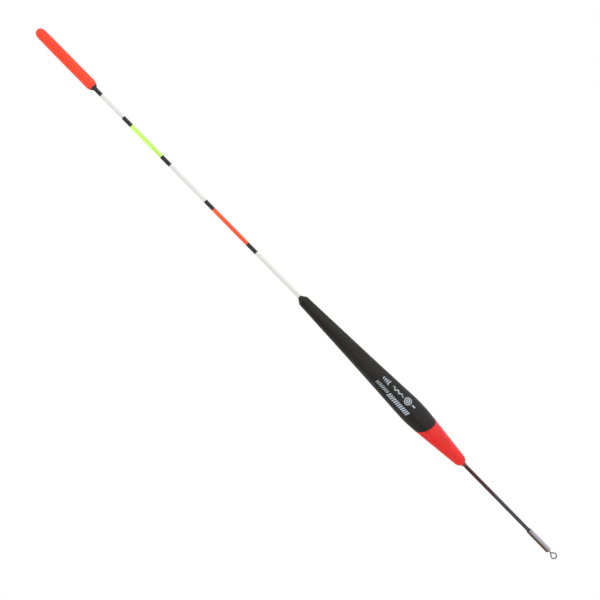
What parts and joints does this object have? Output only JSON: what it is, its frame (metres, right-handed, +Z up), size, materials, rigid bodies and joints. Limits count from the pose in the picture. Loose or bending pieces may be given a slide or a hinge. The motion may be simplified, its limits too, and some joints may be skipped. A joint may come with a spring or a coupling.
{
  "type": "bobber float",
  "caption": "Slim stick fishing float: long tapered body, banded antenna with a bright bulb tip, dark bottom stem and a swivelling wire line eye.",
  "frame": {"origin": "centre of the wire line eye at the foot of the float", "axes": "+Z up the float's axis towards the sight tip, +Y along the hole of the line eye at rest, +X to its side"},
  "size_m": [0.0082, 0.0082, 0.2444],
  "materials": {
    "tip_red": "balsa under satin fluorescent orange-red paint, with black paint on the cone at its foot",
    "antenna_white": "satin white rod with painted black, lime and orange-red bands",
    "socket_plastic": "matte dark plastic tube, hidden in the body",
    "body_black": "balsa under satin black paint",
    "stem_carbon": "satin dark grey carbon rod",
    "ferrule_nickel": "bright nickel plate",
    "eye_wire": "drawn stainless wire",
    "retainer_brass": "plain brass, hidden in the ferrule",
    "cone_red": "satin red paint on the lower end of the body",
    "band_black": "satin black paint bands on the antenna and the foot of the tip",
    "band_lime": "fluorescent yellow-green paint band",
    "band_orange": "fluorescent orange-red paint band",
    "glue_dark": "bead of set glue at the ferrule's mouth",
    "marking_silver": "thin pale grey printed marking"
  },
  "bodies": {
    "float": {"sight_tip": "tip_red", "antenna": "antenna_white", "antenna_socket": "socket_plastic", "body": "body_black", "stem": "stem_carbon", "ferrule": "ferrule_nickel"},
    "eye": {"line_eye": "eye_wire", "eye_retainer": "retainer_brass"}
  },
  "joints": [
    {"name": "eye_swivel", "type": "hinge", "parent": "float", "child": "eye", "pos_m": [0, 0, 0], "axis": [0, 0, 1], "continuous": true}
  ]
}
